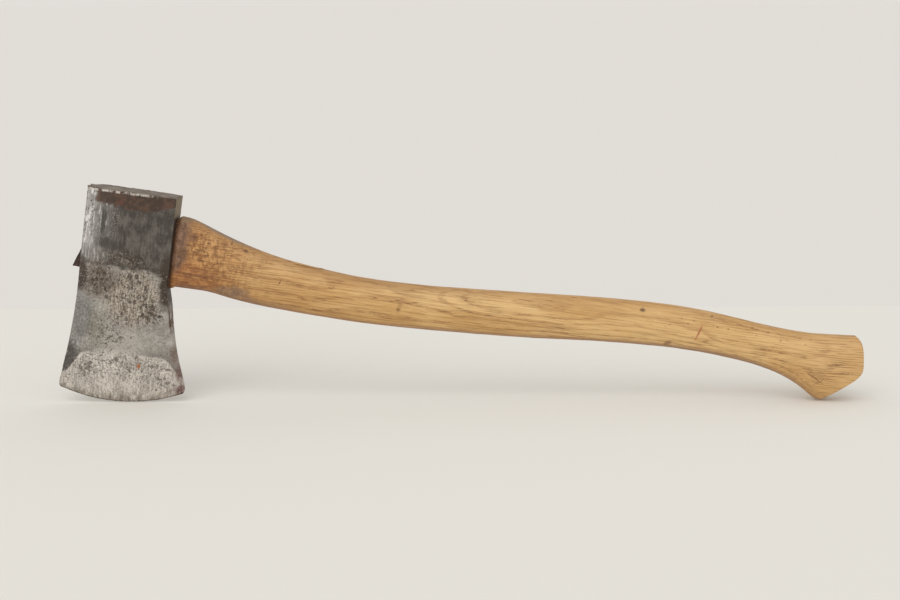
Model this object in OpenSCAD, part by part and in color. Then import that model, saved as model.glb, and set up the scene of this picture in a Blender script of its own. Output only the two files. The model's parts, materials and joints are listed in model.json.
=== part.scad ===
// Felling axe: a forged single-bit head with a flared bit, hung on a curved
// hickory haft by a wooden wedge and a small steel wedge.
// Every piece is drawn on the head: X runs along the haft to the knob, Y across
// the cheeks, Z up to the poll, with zero in the middle of the eye. The whole
// axe is then stood on its cutting edge and on the toe of the knob.

/* [Head] */
// Width of the poll along the haft
head_l = 79.5; // [66:0.5:100]
// Height of the poll's face above the middle of the eye
poll_rise = 52; // [46:0.5:70]
// Thickness of the poll
poll_t = 30.5; // [29:0.5:40]
// Thickness over the cheeks at the eye
cheek_t = 32; // [31:0.5:42]
// Radius of the cheeks' bulge between the wedged side and the haft's side
cheek_r = 850; // [300:10:2000]
// Distance below the middle of the eye at which the cheeks start to taper
taper_drop = 13; // [0:1:28]
// Width of the chamfer round the poll's face
poll_chamfer = 1.6; // [0.5:0.1:4]

/* [Bit] */
// Distance of the edge's lowest point below the middle of the eye
edge_drop = 142.6; // [110:0.2:180]
// Radius of the cutting edge, seen from the side
edge_r = 148; // [100:1:400]
// Distance of the edge's lowest point from the middle, to the wedged side
edge_shift = 3.5; // [0:0.5:12]
// Thickness left at the cutting edge
edge_t = 0.8; // [0.4:0.1:2]
// Height of the honed strip along the edge
hone_h = 11; // [5:0.5:20]
// Thickness at the top of the honed strip
hone_t = 5; // [3:0.1:7]
// Height at which the bevel meets the cheeks
bevel_h = 45; // [30:1:60]
// Thickness at which the bevel meets the cheeks
bevel_t = 13.2; // [10:0.2:20]
// Reach of the toe's point from the middle of the eye
toe_reach = 52; // [46:0.5:70]
// Distance below the middle of the eye at which the toe starts to flare
toe_flare_drop = 18; // [0:1:60]
// Reach of the heel's point from the middle of the eye
heel_reach = 65.5; // [52:0.5:80]
// Distance below the middle of the eye at which the heel starts to flare
heel_flare_drop = 10; // [0:1:60]
// Radius of the rounded toe and heel
corner_r = 5; // [3:0.5:14]

/* [Eye] */
// Depth of the eye on the haft's side
eye_d = 63.4; // [54:0.2:70]
// Width of the eye on the haft's side
eye_w = 19.5; // [15:0.1:22]
// How much deeper the eye is on the wedged side
eye_flare_d = 1.6; // [0:0.1:4]
// How much wider the eye is on the wedged side
eye_flare_w = 2.2; // [0:0.1:4]
// Clearance between pieces that are driven together
fit_gap = 0.05; // [0.03:0.01:0.15]

/* [Haft] */
// Length from the wedged end to the end of the knob
haft_l = 707.5; // [600:0.5:900]
// Length of the fitted neck that shows under the head
neck_l = 3; // [1:0.5:12]
// Distance from the head to the middle of the belly
belly_at = 190; // [160:1:260]
// Distance from the head to the middle of the grip
grip_at = 455; // [360:1:500]
// Distance from the knob's toe back to the wrist
wrist_back = 61; // [50:1:90]
// Distance from the end of the haft back to the knob's toe
toe_back = 33.5; // [28:0.5:45]
// Height of the shoulder's top line above the middle of the eye
shoulder_top = 34.8; // [30:0.1:40]
// Height of the belly's top line above the middle of the eye
belly_top = 1.1; // [-10:0.1:10]
// Height of the grip's top line above the middle of the eye
grip_top = 15.2; // [5:0.1:25]
// Height of the wrist's top line above the middle of the eye
wrist_top = 8.8; // [0:0.1:20]
// Height of the knob's top line above the middle of the eye
knob_top = 7.7; // [0:0.1:15]
// Depth of the haft at the shoulder
shoulder_d = 64.3; // [56:0.1:70]
// Depth of the haft at the belly
belly_d = 40.3; // [34:0.1:48]
// Depth of the haft at the grip
grip_d = 38.6; // [33:0.1:46]
// Depth of the haft at the wrist
wrist_d = 37.6; // [32:0.1:45]
// Depth of the haft at the toe of the knob
knob_d = 61.1; // [54:0.1:68]
// Thickness of the haft at the shoulder
shoulder_t = 26.5; // [22:0.1:31]
// Thickness of the haft at the belly
belly_t = 24.5; // [20:0.1:29]
// Thickness of the haft at the grip
grip_t = 24; // [20:0.1:29]
// Thickness of the haft at the wrist
wrist_t = 24.5; // [20:0.1:29]
// Thickness of the haft at the knob
knob_t = 30; // [25:0.1:34]
// Rise of the neck above the eye, and its drop below the shoulder's underside
neck_rise = 1.5; // [0.2:0.1:2]
// How much thicker the neck is than the eye is wide
neck_swell = 3.5; // [1:0.1:4.5]
// Height of the knob's end face, between its rounds
end_h = 21.5; // [12:0.5:24]
// Rise of the top line from the knob's toe to its end
end_rise = 3; // [0:0.5:6]
// Lean of the knob's end face, in degrees
end_lean = 8; // [0:0.5:15]
// Radius over the top of the knob's end
knob_r = 11; // [4:0.5:14]
// Radius under the knob's end
heel_r = 4; // [1:0.5:6]

/* [Wedges] */
// Length of the wooden wedge in the kerf
wedge_l = 48; // [35:0.5:60]
// Thickness of the wooden wedge at the wedged side
wedge_t = 5; // [3:0.1:7]
// Thickness of the wooden wedge at its tip
wedge_tip_t = 1; // [0.5:0.1:2]
// Width of the steel wedge over its struck end
steel_w = 32; // [20:0.5:36]
// Width of the steel wedge at its tip
steel_tip_w = 11; // [6:0.5:18]
// Length of the steel wedge
steel_l = 32; // [22:0.5:40]
// Thickness of the steel wedge over its struck end
steel_t = 4.2; // [2.5:0.1:5]
// Thickness of the steel wedge at its tip
steel_tip_t = 1; // [0.6:0.1:2]
// How far the steel wedge's low corner stands proud of the head
steel_proud = 8.8; // [4:0.1:14]
// Height of that corner above the eye's lower wall
steel_up = 9.5; // [6:0.5:22]
// Tilt of the steel wedge, seen from the side, in degrees
steel_tilt = 22; // [0:1:30]
// Turn of the steel wedge out of the kerf, in degrees
steel_turn = 8; // [0:1:15]

/* [Hidden] */
$fn = 240;
// Shape of the oval sections: 2 is an ellipse, more is squarer
oval_n = 2.3;
// Points round a section of the haft
ring_n = 32;
// Steps between two stations of the haft
ring_steps = 3;
// Flat steps along the cutting edge
edge_steps = 36;
// Run over which the haft climbs from the neck to the shoulder
step_run = 1.5;
// Overrun of a shape past the face that trims it
over = 1;
// How much deeper the knob's skin is at its overrun than at the toe
tail_grow = 11;
// Reach of cutting shapes, past any half thickness and past any length
wide = 2 * cheek_t;
far = 2 * haft_l;

half_l = head_l / 2;
free_l = haft_l - head_l;
edge_c = [-edge_shift, edge_r - edge_drop];

// Corner that a side would make with the edge if it weren't rounded
function edge_corner(reach) =
    [reach, edge_c[1] - sqrt(pow(edge_r, 2) - pow(reach - edge_c[0], 2))];
// Radius of a flare that leaves the straight side at a height and ends in a corner
function flare_r(corner, drop) =
    let (out = abs(corner[0]) - half_l, down = -drop - corner[1])
    (pow(out, 2) + pow(down, 2)) / (2 * out);
// Lower one of the two points at distance r1 from c1 and r2 from c2
function lower_meet(c1, r1, c2, r2) =
    let (
        d = norm(c2 - c1),
        u = (c2 - c1) / d,
        along = (d * d + r1 * r1 - r2 * r2) / (2 * d),
        aside = sqrt(r1 * r1 - along * along),
        a = c1 + u * along + [u[1], -u[0]] * aside,
        b = c1 + u * along - [u[1], -u[0]] * aside
    ) a[1] < b[1] ? a : b;
// Points on an arc from one angle to another
function arc(c, r, from, to, steps = 8) =
    [for (i = [0:steps]) let (a = from + (to - from) * i / steps) c + r * [cos(a), sin(a)]];

toe_r = flare_r(edge_corner(-toe_reach), toe_flare_drop);
heel_flare_r = flare_r(edge_corner(heel_reach), heel_flare_drop);
toe_c = [-half_l - toe_r, -toe_flare_drop];
heel_c = [half_l + heel_flare_r, -heel_flare_drop];
toe_round = lower_meet(edge_c, edge_r - corner_r, toe_c, toe_r + corner_r);
heel_round = lower_meet(edge_c, edge_r - corner_r, heel_c, heel_flare_r + corner_r);

// The toe of the knob, where the underside meets the slanted face
knob_toe = [half_l + free_l - toe_back, knob_top - knob_d];
// Middle of the round over the knob's end, and of the one under it: the end face
// runs down from the upper round, and leans out to the knob's lowest corner
over_c = [half_l + free_l - knob_r - end_h * tan(end_lean), knob_top + end_rise - knob_r];
under_c = over_c + [(knob_r - heel_r) / cos(end_lean) + end_h * tan(end_lean), -end_h];
slant = atan2(under_c[1] - heel_r - knob_toe[1], under_c[0] - knob_toe[0]);

// Angle of the ground under the axe: it touches the edge's arc and the knob's toe
span = knob_toe - edge_c;
ground = atan2(span[1], span[0]) - acos(edge_r / norm(span));
lean = -90 - ground;
down = [cos(ground), sin(ground)];
lift = edge_c * down + edge_r;
// A point of the side view after the axe is stood up, without the shift along X
function stood(p) = [p[0] * cos(lean) - p[1] * sin(lean), lift + p[0] * sin(lean) + p[1] * cos(lean)];
left_end = stood(toe_round)[0] - corner_r;
right_end = max(stood(over_c)[0] + knob_r, stood(under_c)[0] + heel_r);
shift = -(left_end + right_end) / 2;

module stand() {
    translate([shift, 0, lift]) rotate([0, -lean, 0]) children();
}
// A side outline, drawn in X and Z, given a thickness in Y
module slab(t) {
    rotate([90, 0, 0]) linear_extrude(t, center = true) children();
}

// Section of the eye or of the haft: an oval across X, as a ring of points
function oval(x, top, depth, thick) = [
    for (i = [0:ring_n - 1])
        let (c = cos(360 * i / ring_n), s = sin(360 * i / ring_n), k = 2 / oval_n)
        [x, thick / 2 * sign(c) * pow(abs(c), k),
            top - depth / 2 + depth / 2 * sign(s) * pow(abs(s), k)]
];
// Section of the eye at x, drawn in by a gap all round
function eye_oval(x, gap) =
    let (k = (half_l - x) / head_l, d = eye_d + k * eye_flare_d, w = eye_w + k * eye_flare_w)
    oval(x, d / 2 - gap, d - 2 * gap, w - 2 * gap);

// Solid skin over a row of rings, closed by a flat face at each end
module skin(rings) {
    m = len(rings);
    n = len(rings[0]);
    polyhedron(
        points = [for (r = rings) each r],
        faces = concat(
            [[for (i = [0:n - 1]) i]],
            [for (j = [0:m - 2], i = [0:n - 1]) let (k = (i + 1) % n)
                each [[j * n + i, (j + 1) * n + i, j * n + k],
                    [j * n + k, (j + 1) * n + i, (j + 1) * n + k]]],
            [[for (i = [n - 1:-1:0]) (m - 1) * n + i]]
        )
    );
}

// Drawn-out stations of the haft: distance from the head, top line, depth, thickness
SHOULDER = [neck_l + step_run, shoulder_top, shoulder_d, shoulder_t];
BELLY = [belly_at, belly_top, belly_d, belly_t];
GRIP = [grip_at, grip_top, grip_d, grip_t];
KNOB = [free_l - toe_back, knob_top, knob_d, knob_t];
WRIST = [KNOB[0] - wrist_back, wrist_top, wrist_d, wrist_t];
TAIL = [free_l + over, knob_top + end_rise + over, knob_d + tail_grow, knob_t + over];
// A station between two others, by its share of the way, of the rise and of the depth
function blend(a, b, way, rise, slim) = [
    a[0] + (b[0] - a[0]) * way, a[1] + (b[1] - a[1]) * rise,
    a[2] + (b[2] - a[2]) * slim, a[3] + (b[3] - a[3]) * way
];
STATIONS = [
    SHOULDER,
    blend(SHOULDER, BELLY, 0.051, 0.028, 0.04),
    blend(SHOULDER, BELLY, 0.10, 0.113, 0.158),
    blend(SHOULDER, BELLY, 0.168, 0.256, 0.354),
    blend(SHOULDER, BELLY, 0.33, 0.552, 0.564),
    blend(SHOULDER, BELLY, 0.574, 0.828, 0.819),
    BELLY,
    blend(BELLY, GRIP, 0.50, 0.52, -0.4),
    blend(BELLY, GRIP, 0.755, 0.87, 0.2),
    GRIP,
    blend(GRIP, WRIST, 0.5, 0.36, 1.1),
    WRIST,
    blend(WRIST, KNOB, 0.41, 1.9, 0.17),
    blend(WRIST, KNOB, 0.705, 2.1, 0.50),
    KNOB,
    TAIL
];
// Change of a station's values for each millimetre along the haft
function slope(i) =
    let (a = STATIONS[max(i - 1, 0)], b = STATIONS[min(i + 1, len(STATIONS) - 1)])
    (b - a) / (b[0] - a[0]);
// Point t of the smooth curve from station i to the next
function faired(i, t) =
    let (a = STATIONS[i], b = STATIONS[i + 1], run = b[0] - a[0])
    a * (1 + 2 * t) * pow(1 - t, 2) + slope(i) * run * t * pow(1 - t, 2)
    + b * (3 - 2 * t) * pow(t, 2) - slope(i + 1) * run * (1 - t) * pow(t, 2);
function station_ring(s) = oval(half_l + s[0], s[1], s[2], s[3]);
// The neck narrows a little under the head and is lower than the shoulder's top
function neck_ring() =
    let (top = eye_d / 2 + neck_rise, bottom = shoulder_top - shoulder_d - neck_rise)
    oval(half_l + neck_l, top, top - bottom, eye_w + neck_swell);

function haft_rings() = concat(
    [eye_oval(-half_l, fit_gap), eye_oval(half_l, fit_gap), neck_ring()],
    [for (i = [0:len(STATIONS) - 2], j = [0:ring_steps - 1])
        station_ring(faired(i, j / ring_steps))],
    [station_ring(TAIL)]
);

// Outline that trims the haft to its slanted face, its end and the rounds between
module knob_outline() {
    polygon(concat(
        [[half_l - head_l, wide * 2], [half_l - head_l, knob_toe[1] - wide / 2],
            knob_toe - [wide, wide * tan(slant / 2)], knob_toe],
        arc(under_c, heel_r, slant - 90, end_lean),
        arc(over_c, knob_r, end_lean, 90),
        [[over_c[0] - wide, over_c[1] + knob_r + wide / 4]]
    ));
}

// Angle of the way from one point to another, between zero and a full turn
function bearing(from, to) =
    let (v = to - from, a = atan2(v[1], v[0])) a < 0 ? a + 360 : a;
// The head from the side: poll, flare of the heel, edge from heel to toe, flare of the toe
module head_outline() {
    k = poll_chamfer;
    polygon(concat(
        [[-half_l, poll_rise - k], [-half_l + k, poll_rise],
            [half_l - k, poll_rise], [half_l, poll_rise - k]],
        arc(heel_c, heel_flare_r, 180, bearing(heel_c, heel_round)),
        arc(heel_round, corner_r, bearing(heel_round, heel_c), bearing(edge_c, heel_round) - 360),
        arc(edge_c, edge_r, bearing(edge_c, heel_round), bearing(edge_c, toe_round), edge_steps),
        arc(toe_round, corner_r, bearing(edge_c, toe_round), bearing(toe_round, toe_c)),
        arc(toe_c, toe_r, bearing(toe_c, toe_round) - 360, 0)
    ));
}
// Round bar whose near side is a cheek that passes through two half thicknesses
module cheek_bar(y1, z1, y2, z2) {
    translate([0, y1, z1]) rotate([atan2(y2 - y1, z1 - z2), 0, 0])
        translate([0, -cheek_r, 0]) cylinder(h = far, r = cheek_r, center = true);
}
module cheeks() {
    intersection_for (side = [0, 1]) mirror([0, side, 0]) intersection() {
        cheek_bar(poll_t / 2, poll_rise, cheek_t / 2, -taper_drop);
        cheek_bar(cheek_t / 2, -taper_drop, bevel_t / 2, bevel_h - edge_drop);
    }
}
// Disc round the middle of the edge's arc: its two slopes are the bevel and the honed
// strip, which runs out to nothing just past the edge
module bevel_disc() {
    bevel_slope = (bevel_t - hone_t) / 2 / (bevel_h - hone_h);
    hone_slope = (hone_t - edge_t) / 2 / hone_h;
    hub = hone_t / 2 + bevel_slope * (edge_r - hone_h);
    rotate([90, 0, 0]) translate([edge_c[0], edge_c[1], 0]) rotate_extrude() polygon([
        [0, -hub], [edge_r - hone_h, -hone_t / 2], [edge_r + edge_t / 2 / hone_slope, 0],
        [edge_r - hone_h, hone_t / 2], [0, hub]
    ]);
}
// Bar along the head with the chamfers over the poll's long sides
module poll_bar() {
    k = poll_chamfer;
    low = -edge_drop - wide;
    rotate([90, 0, 90]) linear_extrude(far, center = true) polygon([
        [-wide, low], [-wide, poll_rise - k - (wide - poll_t / 2)], [-poll_t / 2 + k, poll_rise],
        [poll_t / 2 - k, poll_rise], [wide, poll_rise - k - (wide - poll_t / 2)], [wide, low]
    ]);
}
module axe_head() {
    color([0.36, 0.35, 0.35]) stand() difference() {
        intersection() {
            slab(wide) head_outline();
            cheeks();
            bevel_disc();
            poll_bar();
        }
        skin([eye_oval(-half_l - over, 0), eye_oval(half_l + over, 0)]);
    }
}

// The wooden wedge's taper, grown by a gap for the kerf that takes it
module wedge_taper(gap) {
    grow = (wedge_t - wedge_tip_t) / 2 / wedge_l * over;
    tip = -half_l + wedge_l + gap;
    translate([0, 0, -wide]) linear_extrude(2 * wide) polygon([
        [-half_l - over, -wedge_t / 2 - grow - gap], [tip, -wedge_tip_t / 2 - gap],
        [tip, wedge_tip_t / 2 + gap], [-half_l - over, wedge_t / 2 + grow + gap]
    ]);
}
// The steel wedge, grown by a gap for the slot that takes it
module steel_shape(gap) {
    w = steel_w / 2 + gap;
    tip_w = steel_tip_w / 2 + gap;
    t = steel_t / 2 + gap;
    tip_t = steel_tip_t / 2 + gap;
    translate([-half_l - steel_proud, 0, steel_up - (eye_d + eye_flare_d) / 2]) rotate([0, steel_tilt, 0])
        translate([0, 0, steel_w / 2]) rotate([steel_turn, 0, 0]) intersection() {
            slab(wide) polygon([[0, -w], [steel_l + gap, -tip_w], [steel_l + gap, tip_w], [0, w]]);
            translate([0, 0, -wide]) linear_extrude(2 * wide)
                polygon([[0, -t], [steel_l + gap, -tip_t], [steel_l + gap, tip_t], [0, t]]);
        }
}

module haft() {
    color([0.80, 0.62, 0.38]) stand() difference() {
        intersection() {
            skin(haft_rings());
            slab(wide) knob_outline();
        }
        wedge_taper(fit_gap);
        steel_shape(fit_gap);
    }
}
module eye_wedge() {
    color([0.62, 0.45, 0.27]) stand() difference() {
        intersection() {
            skin([eye_oval(-half_l, fit_gap), eye_oval(half_l, fit_gap)]);
            wedge_taper(0);
        }
        steel_shape(fit_gap);
    }
}
module steel_wedge() {
    color([0.25, 0.19, 0.16]) stand() steel_shape(0);
}

axe_head();
haft();
eye_wedge();
steel_wedge();
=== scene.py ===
# %% [markdown]
# # An old felling axe
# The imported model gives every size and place. This lesson dresses it: a forged and pitted
# steel head, a worn hickory haft, and the two wedges that lock them together. Each piece is
# built in the axe's own frame, in millimetres, because that is how its maker would measure
# it, and is stood up in the scene only when it is finished.

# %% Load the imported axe
import json
import math
import random

import bmesh
import bpy
from mathutils import Matrix, Vector
from mathutils.bvhtree import BVHTree
from mathutils.kdtree import KDTree


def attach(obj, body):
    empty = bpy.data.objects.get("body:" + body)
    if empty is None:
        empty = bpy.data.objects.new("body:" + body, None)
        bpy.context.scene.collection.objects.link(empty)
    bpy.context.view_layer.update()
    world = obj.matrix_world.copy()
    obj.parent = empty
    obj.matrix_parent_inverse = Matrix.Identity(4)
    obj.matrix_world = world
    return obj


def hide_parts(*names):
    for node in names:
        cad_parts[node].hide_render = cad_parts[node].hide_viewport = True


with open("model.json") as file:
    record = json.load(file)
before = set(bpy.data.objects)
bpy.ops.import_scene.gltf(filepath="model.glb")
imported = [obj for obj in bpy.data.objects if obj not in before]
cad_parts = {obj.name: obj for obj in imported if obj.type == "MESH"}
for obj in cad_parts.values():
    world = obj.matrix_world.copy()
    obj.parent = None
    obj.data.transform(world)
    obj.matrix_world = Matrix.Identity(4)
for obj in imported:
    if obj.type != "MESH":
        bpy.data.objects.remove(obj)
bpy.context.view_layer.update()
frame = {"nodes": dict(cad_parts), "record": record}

# %% [markdown]
# ## The axe's own frame
# On the bench an axe is measured from the middle of its eye: X runs along the haft, Y across
# the cheeks and Z up to the poll. The poll's mount tells where that frame stands in the
# scene, so nothing here is placed by eye.

# %% The axe's own frame
MM = 0.001
POLL_RISE = 52.0
FAR = 900.0

poll_mount = next(m for m in frame["record"]["mounts"] if m["name"] == "poll_face")
up = Vector(poll_mount["axis"]).normalized()
along = Vector((up.z, 0, -up.x))
eye_middle = Vector(poll_mount["pos_m"]) - up * POLL_RISE * MM
lean = math.atan2(up.x, up.z)
turned = Matrix((along, (0, 1, 0), up)).transposed().to_4x4()
STAND = Matrix.Translation(eye_middle) @ turned @ Matrix.Scale(MM, 4)
print("the haft leans", round(math.degrees(lean), 2), "degrees")


# %% [markdown]
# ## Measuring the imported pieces
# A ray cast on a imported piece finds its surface, as a caliper would. Each new piece takes its
# widths from such readings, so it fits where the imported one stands.

# %% Calipers
def skin_of(node):
    """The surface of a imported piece, in the axe's own frame."""
    mesh = frame["nodes"][node].data
    to_axe = STAND.inverted()
    points = [to_axe @ point.co for point in mesh.vertices]
    return BVHTree.FromPolygons(points, [tuple(face.vertices) for face in mesh.polygons])


def touch(skin, start, way):
    """Where a ray from a point first meets the surface."""
    return skin.ray_cast(Vector(start), Vector(way))[0]


head_skin = skin_of("axe_head")
haft_skin = skin_of("haft")
HEAD_LEFT = touch(head_skin, (-FAR, 13, 20), (1, 0, 0)).x
HEAD_RIGHT = touch(head_skin, (FAR, 13, 20), (-1, 0, 0)).x
print("head from", round(HEAD_LEFT, 2), "to", round(HEAD_RIGHT, 2), "mm")


# %% [markdown]
# ## Working by hand
# These few helpers stand for what the hand does in the window: pick a piece, go into edit
# mode, select points by where they are, move them, and finish with applied modifiers.

# %% Hand tools
CLOUD_DEPTH = 3
CRISP_ANGLE = 40.0


def only(piece):
    """Makes one piece the selected and active one."""
    bpy.ops.object.select_all(action="DESELECT")
    piece.select_set(True)
    bpy.context.view_layer.objects.active = piece


def name_it(name):
    """Names the primitive that was just added and opens it for editing."""
    piece = bpy.context.object
    piece.name = piece.data.name = name
    bpy.ops.object.transform_apply(location=True, rotation=True, scale=True)
    bpy.ops.object.mode_set(mode="EDIT")
    return piece


def done():
    bpy.ops.object.mode_set(mode="OBJECT")


def choose(test, kind="verts"):
    """In edit mode, selects the points, edges or faces that pass the test."""
    bpy.ops.mesh.select_mode(type=kind[:-1].upper())
    bpy.ops.mesh.select_all(action="DESELECT")
    mesh = bmesh.from_edit_mesh(bpy.context.object.data)
    for part in getattr(mesh, kind):
        if test(part):
            part.select_set(True)
    mesh.select_flush_mode()
    bmesh.update_edit_mesh(bpy.context.object.data)


def choose_numbers(numbers):
    """In edit mode, selects points by their numbers."""
    bpy.ops.mesh.select_mode(type="VERT")
    bpy.ops.mesh.select_all(action="DESELECT")
    mesh = bmesh.from_edit_mesh(bpy.context.object.data)
    mesh.verts.ensure_lookup_table()
    for number in numbers:
        mesh.verts[number].select_set(True)
    mesh.select_flush(True)


def move(x=0.0, y=0.0, z=0.0, **settings):
    bpy.ops.transform.translate(value=(x, y, z), **settings)


def stretch(x, y, z, centre=(0, 0, 0)):
    bpy.ops.transform.resize(value=(x, y, z), center_override=centre)


def extrude(x=0.0, y=0.0, z=0.0):
    bpy.ops.mesh.extrude_region_move(TRANSFORM_OT_translate={"value": (x, y, z)})


def modify(piece, kind, **settings):
    """Adds a modifier and applies it."""
    only(piece)
    modifier = piece.modifiers.new(kind.title(), kind)
    for name, value in settings.items():
        setattr(modifier, name, value)
    bpy.ops.object.modifier_apply(modifier=modifier.name)


def smooth_out(piece, levels):
    modify(piece, "SUBSURF", levels=levels, render_levels=levels)


def relief(piece, size, height, group="", direction="NORMAL"):
    """Raises and lowers the surface by a cloud pattern of that size and height, in mm."""
    texture = bpy.data.textures.new(f"{piece.name}_clouds", "CLOUDS")
    texture.noise_scale = size
    texture.noise_depth = CLOUD_DEPTH
    modify(piece, "DISPLACE", texture=texture, texture_coords="LOCAL", strength=height,
           mid_level=0.5, vertex_group=group, direction=direction)


def outwards(piece):
    """Turns every face outwards."""
    only(piece)
    bpy.ops.object.mode_set(mode="EDIT")
    bpy.ops.mesh.select_all(action="SELECT")
    bpy.ops.mesh.remove_doubles(threshold=0.001)
    bpy.ops.mesh.normals_make_consistent(inside=False)
    done()


def stand_up(piece):
    """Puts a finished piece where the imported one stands, with its place in its mesh."""
    only(piece)
    bpy.ops.object.shade_smooth_by_angle(angle=math.radians(CRISP_ANGLE))
    piece.matrix_world = STAND
    bpy.ops.object.transform_apply(location=True, rotation=True, scale=True)
    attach(piece, "root")
    faces = sum(len(face.vertices) - 2 for face in piece.data.polygons)
    print(piece.name, "has", faces, "triangles")


# %% [markdown]
# ## The head's cage
# A single-bit head starts as a plain block. The block is cut into columns, and its underside
# is pulled down row by row: straight under the poll, then flaring out, with the last rows
# bent along the arc of the cutting edge. Subdivision would round the corners away, so the
# long corners, the rim of the poll and the points of the toe and the heel get creases that
# keep them crisp but not sharp.

# %% Rows and columns of the head
EDGE_R = 148.0
EDGE_SHIFT = 3.5
EDGE_DROP = 142.6
EDGE_T = 0.8
BLOCK_T = 30.5
COLUMNS = 7
BEND_FROM = -20.0
BEND_TO = -97.0
ROWS = [POLL_RISE, 49.6, 42, 30, 16, 3, -8, -16, -30, -48, -66, -82, -95, -107, -119,
        -130, -138, -142, -EDGE_DROP]
OFF_MIDDLE = 0.03
EYE_REACH = 34.0
BESIDE_EYE = 12.6
BELOW_RIM = POLL_RISE - 2
EDGE_X = -EDGE_SHIFT
EDGE_Z = EDGE_R - EDGE_DROP


def arc_z(x, z):
    """Height at x of the edge's arc, raised so that its lowest point is at z."""
    return z + EDGE_R - math.sqrt(EDGE_R ** 2 - (x - EDGE_X) ** 2)


def row_z(row, x):
    """Height of a row at x: straight under the poll, along the edge's arc lower down."""
    z = ROWS[row]
    bend = min(max((BEND_FROM - z) / (BEND_FROM - BEND_TO), 0), 1)
    return z + bend * (arc_z(x, z) - z) if bend else z


def outline_x(z, side):
    """Where the outline lies at a height, read in the middle, or beside the eye."""
    y = BESIDE_EYE if abs(z) < EYE_REACH else OFF_MIDDLE
    return touch(head_skin, (side * FAR, y, min(z, BELOW_RIM)), (-side, 0, 0)).x


EDGE_STEP = 0.5
OFF_ARC = 0.08


def edge_end(side):
    """Where the cutting edge turns into the round of its corner."""
    x = 0.0
    while True:
        ahead = touch(head_skin, (x + side * EDGE_STEP, OFF_MIDDLE, -FAR), (0, 0, 1))
        if ahead is None or abs(ahead.z - arc_z(ahead.x, -EDGE_DROP)) > OFF_ARC:
            return x
        x += side * EDGE_STEP


TOE_SPARE = 2.2
HEEL_SPARE = 0.9
EDGE_ENDS = (edge_end(-1) - TOE_SPARE, edge_end(1) + HEEL_SPARE)


def row_ends(row):
    """The left and right end of a row."""
    if row >= len(ROWS) - 2:
        return EDGE_ENDS
    left, right = HEAD_LEFT, HEAD_RIGHT
    for _ in range(8):
        left = outline_x(row_z(row, left), -1)
        right = outline_x(row_z(row, right), 1)
    return left, right


INSIDE = 1.2


def half_thickness(x, z, left, right):
    """Half the head's thickness, read a little inside its outline."""
    x = min(max(x, left + INSIDE), right - INSIDE)
    found = touch(head_skin, (x, -FAR, min(z, BELOW_RIM)), (0, 1, 0))
    return max(-found.y, EDGE_T / 2) if found and found.y < 0 else EDGE_T / 2


print("the edge runs from", [round(v, 1) for v in row_ends(len(ROWS) - 1)])

# %% Pull the head out of a block
bpy.ops.object.select_all(action="DESELECT")
bpy.ops.mesh.primitive_cube_add(size=1, location=(0, 0, (ROWS[0] + ROWS[1]) / 2),
                                scale=(2 * HEAD_RIGHT, BLOCK_T, ROWS[0] - ROWS[1]))
head = name_it("felling_head")
choose(lambda edge: abs(edge.verts[0].co.x - edge.verts[1].co.x) > 1, "edges")
bpy.ops.mesh.subdivide(number_cuts=COLUMNS - 1)
choose(lambda edge: abs(edge.verts[0].co.y - edge.verts[1].co.y) > 1, "edges")
bpy.ops.mesh.subdivide(number_cuts=1)
choose(lambda face: face.normal.z < -0.9, "faces")
for above, below in zip(ROWS[1:], ROWS[2:]):
    extrude(z=below - above)
print("rows pulled down:", len(ROWS) - 2)

# %% Bend, flare and thin the rows
mesh = bmesh.from_edit_mesh(head.data)
cage = {}
for point in mesh.verts:
    row = min(range(len(ROWS)), key=lambda r: abs(ROWS[r] - point.co.z))
    column = round((point.co.x - HEAD_LEFT) / (HEAD_RIGHT - HEAD_LEFT) * COLUMNS)
    cage.setdefault((row, column), []).append(point.index)
for (row, column), numbers in cage.items():
    left, right = row_ends(row)
    x = left + (right - left) * column / COLUMNS
    z = row_z(row, x)
    old_x = HEAD_LEFT + (HEAD_RIGHT - HEAD_LEFT) * column / COLUMNS
    choose_numbers(numbers)
    move(x - old_x, 0, z - ROWS[row])
    stretch(1, half_thickness(x, z, left, right) / (BLOCK_T / 2), 1)
print("points placed:", sum(len(numbers) for numbers in cage.values()))

# %% Crease the long corners, the toe, the heel and the rim of the poll
TIP_CREASE = 0.8
CORNER_CREASE = 0.62
RIM_CREASE = 0.55
RIM_INSET = 2.2
LAST_CREASE = -116.0


def on_corner(edge):
    """An edge of the cage where a cheek meets one of the head's narrow sides."""
    a, b = edge.verts
    narrow = all(abs(face.normal.x) > 0.7 for face in edge.link_faces)
    flat = all(abs(face.normal.y) > 0.5 for face in edge.link_faces)
    low = max(a.co.z, b.co.z) < LAST_CREASE
    return not (narrow or flat or low) and abs(a.co.z - b.co.z) > 1 and abs(a.co.y) > 0.1


choose(on_corner, "edges")
bpy.ops.transform.edge_crease(value=CORNER_CREASE)
choose_numbers([number for (row, column), numbers in cage.items() for number in numbers
                if row >= len(ROWS) - 2 and column in (0, COLUMNS)])
bpy.ops.transform.vert_crease(value=TIP_CREASE)
choose(lambda face: face.normal.z > 0.9, "faces")
bpy.ops.mesh.inset(thickness=RIM_INSET)
choose(lambda edge: any(f.normal.z > 0.9 for f in edge.link_faces)
       and any(f.normal.z < 0.7 for f in edge.link_faces), "edges")
bpy.ops.transform.edge_crease(value=RIM_CREASE)
done()
smooth_out(head, 4)
print("head:", len(head.data.polygons), "faces")

# %% [markdown]
# ## The eye
# A haft is hung through a tapered oval eye. A cutter is made from a circle, squared off a
# little as the haft is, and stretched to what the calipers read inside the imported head.

# %% Ovals that are a little square
OVAL_POWER = 2.3
RING = 24


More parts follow.
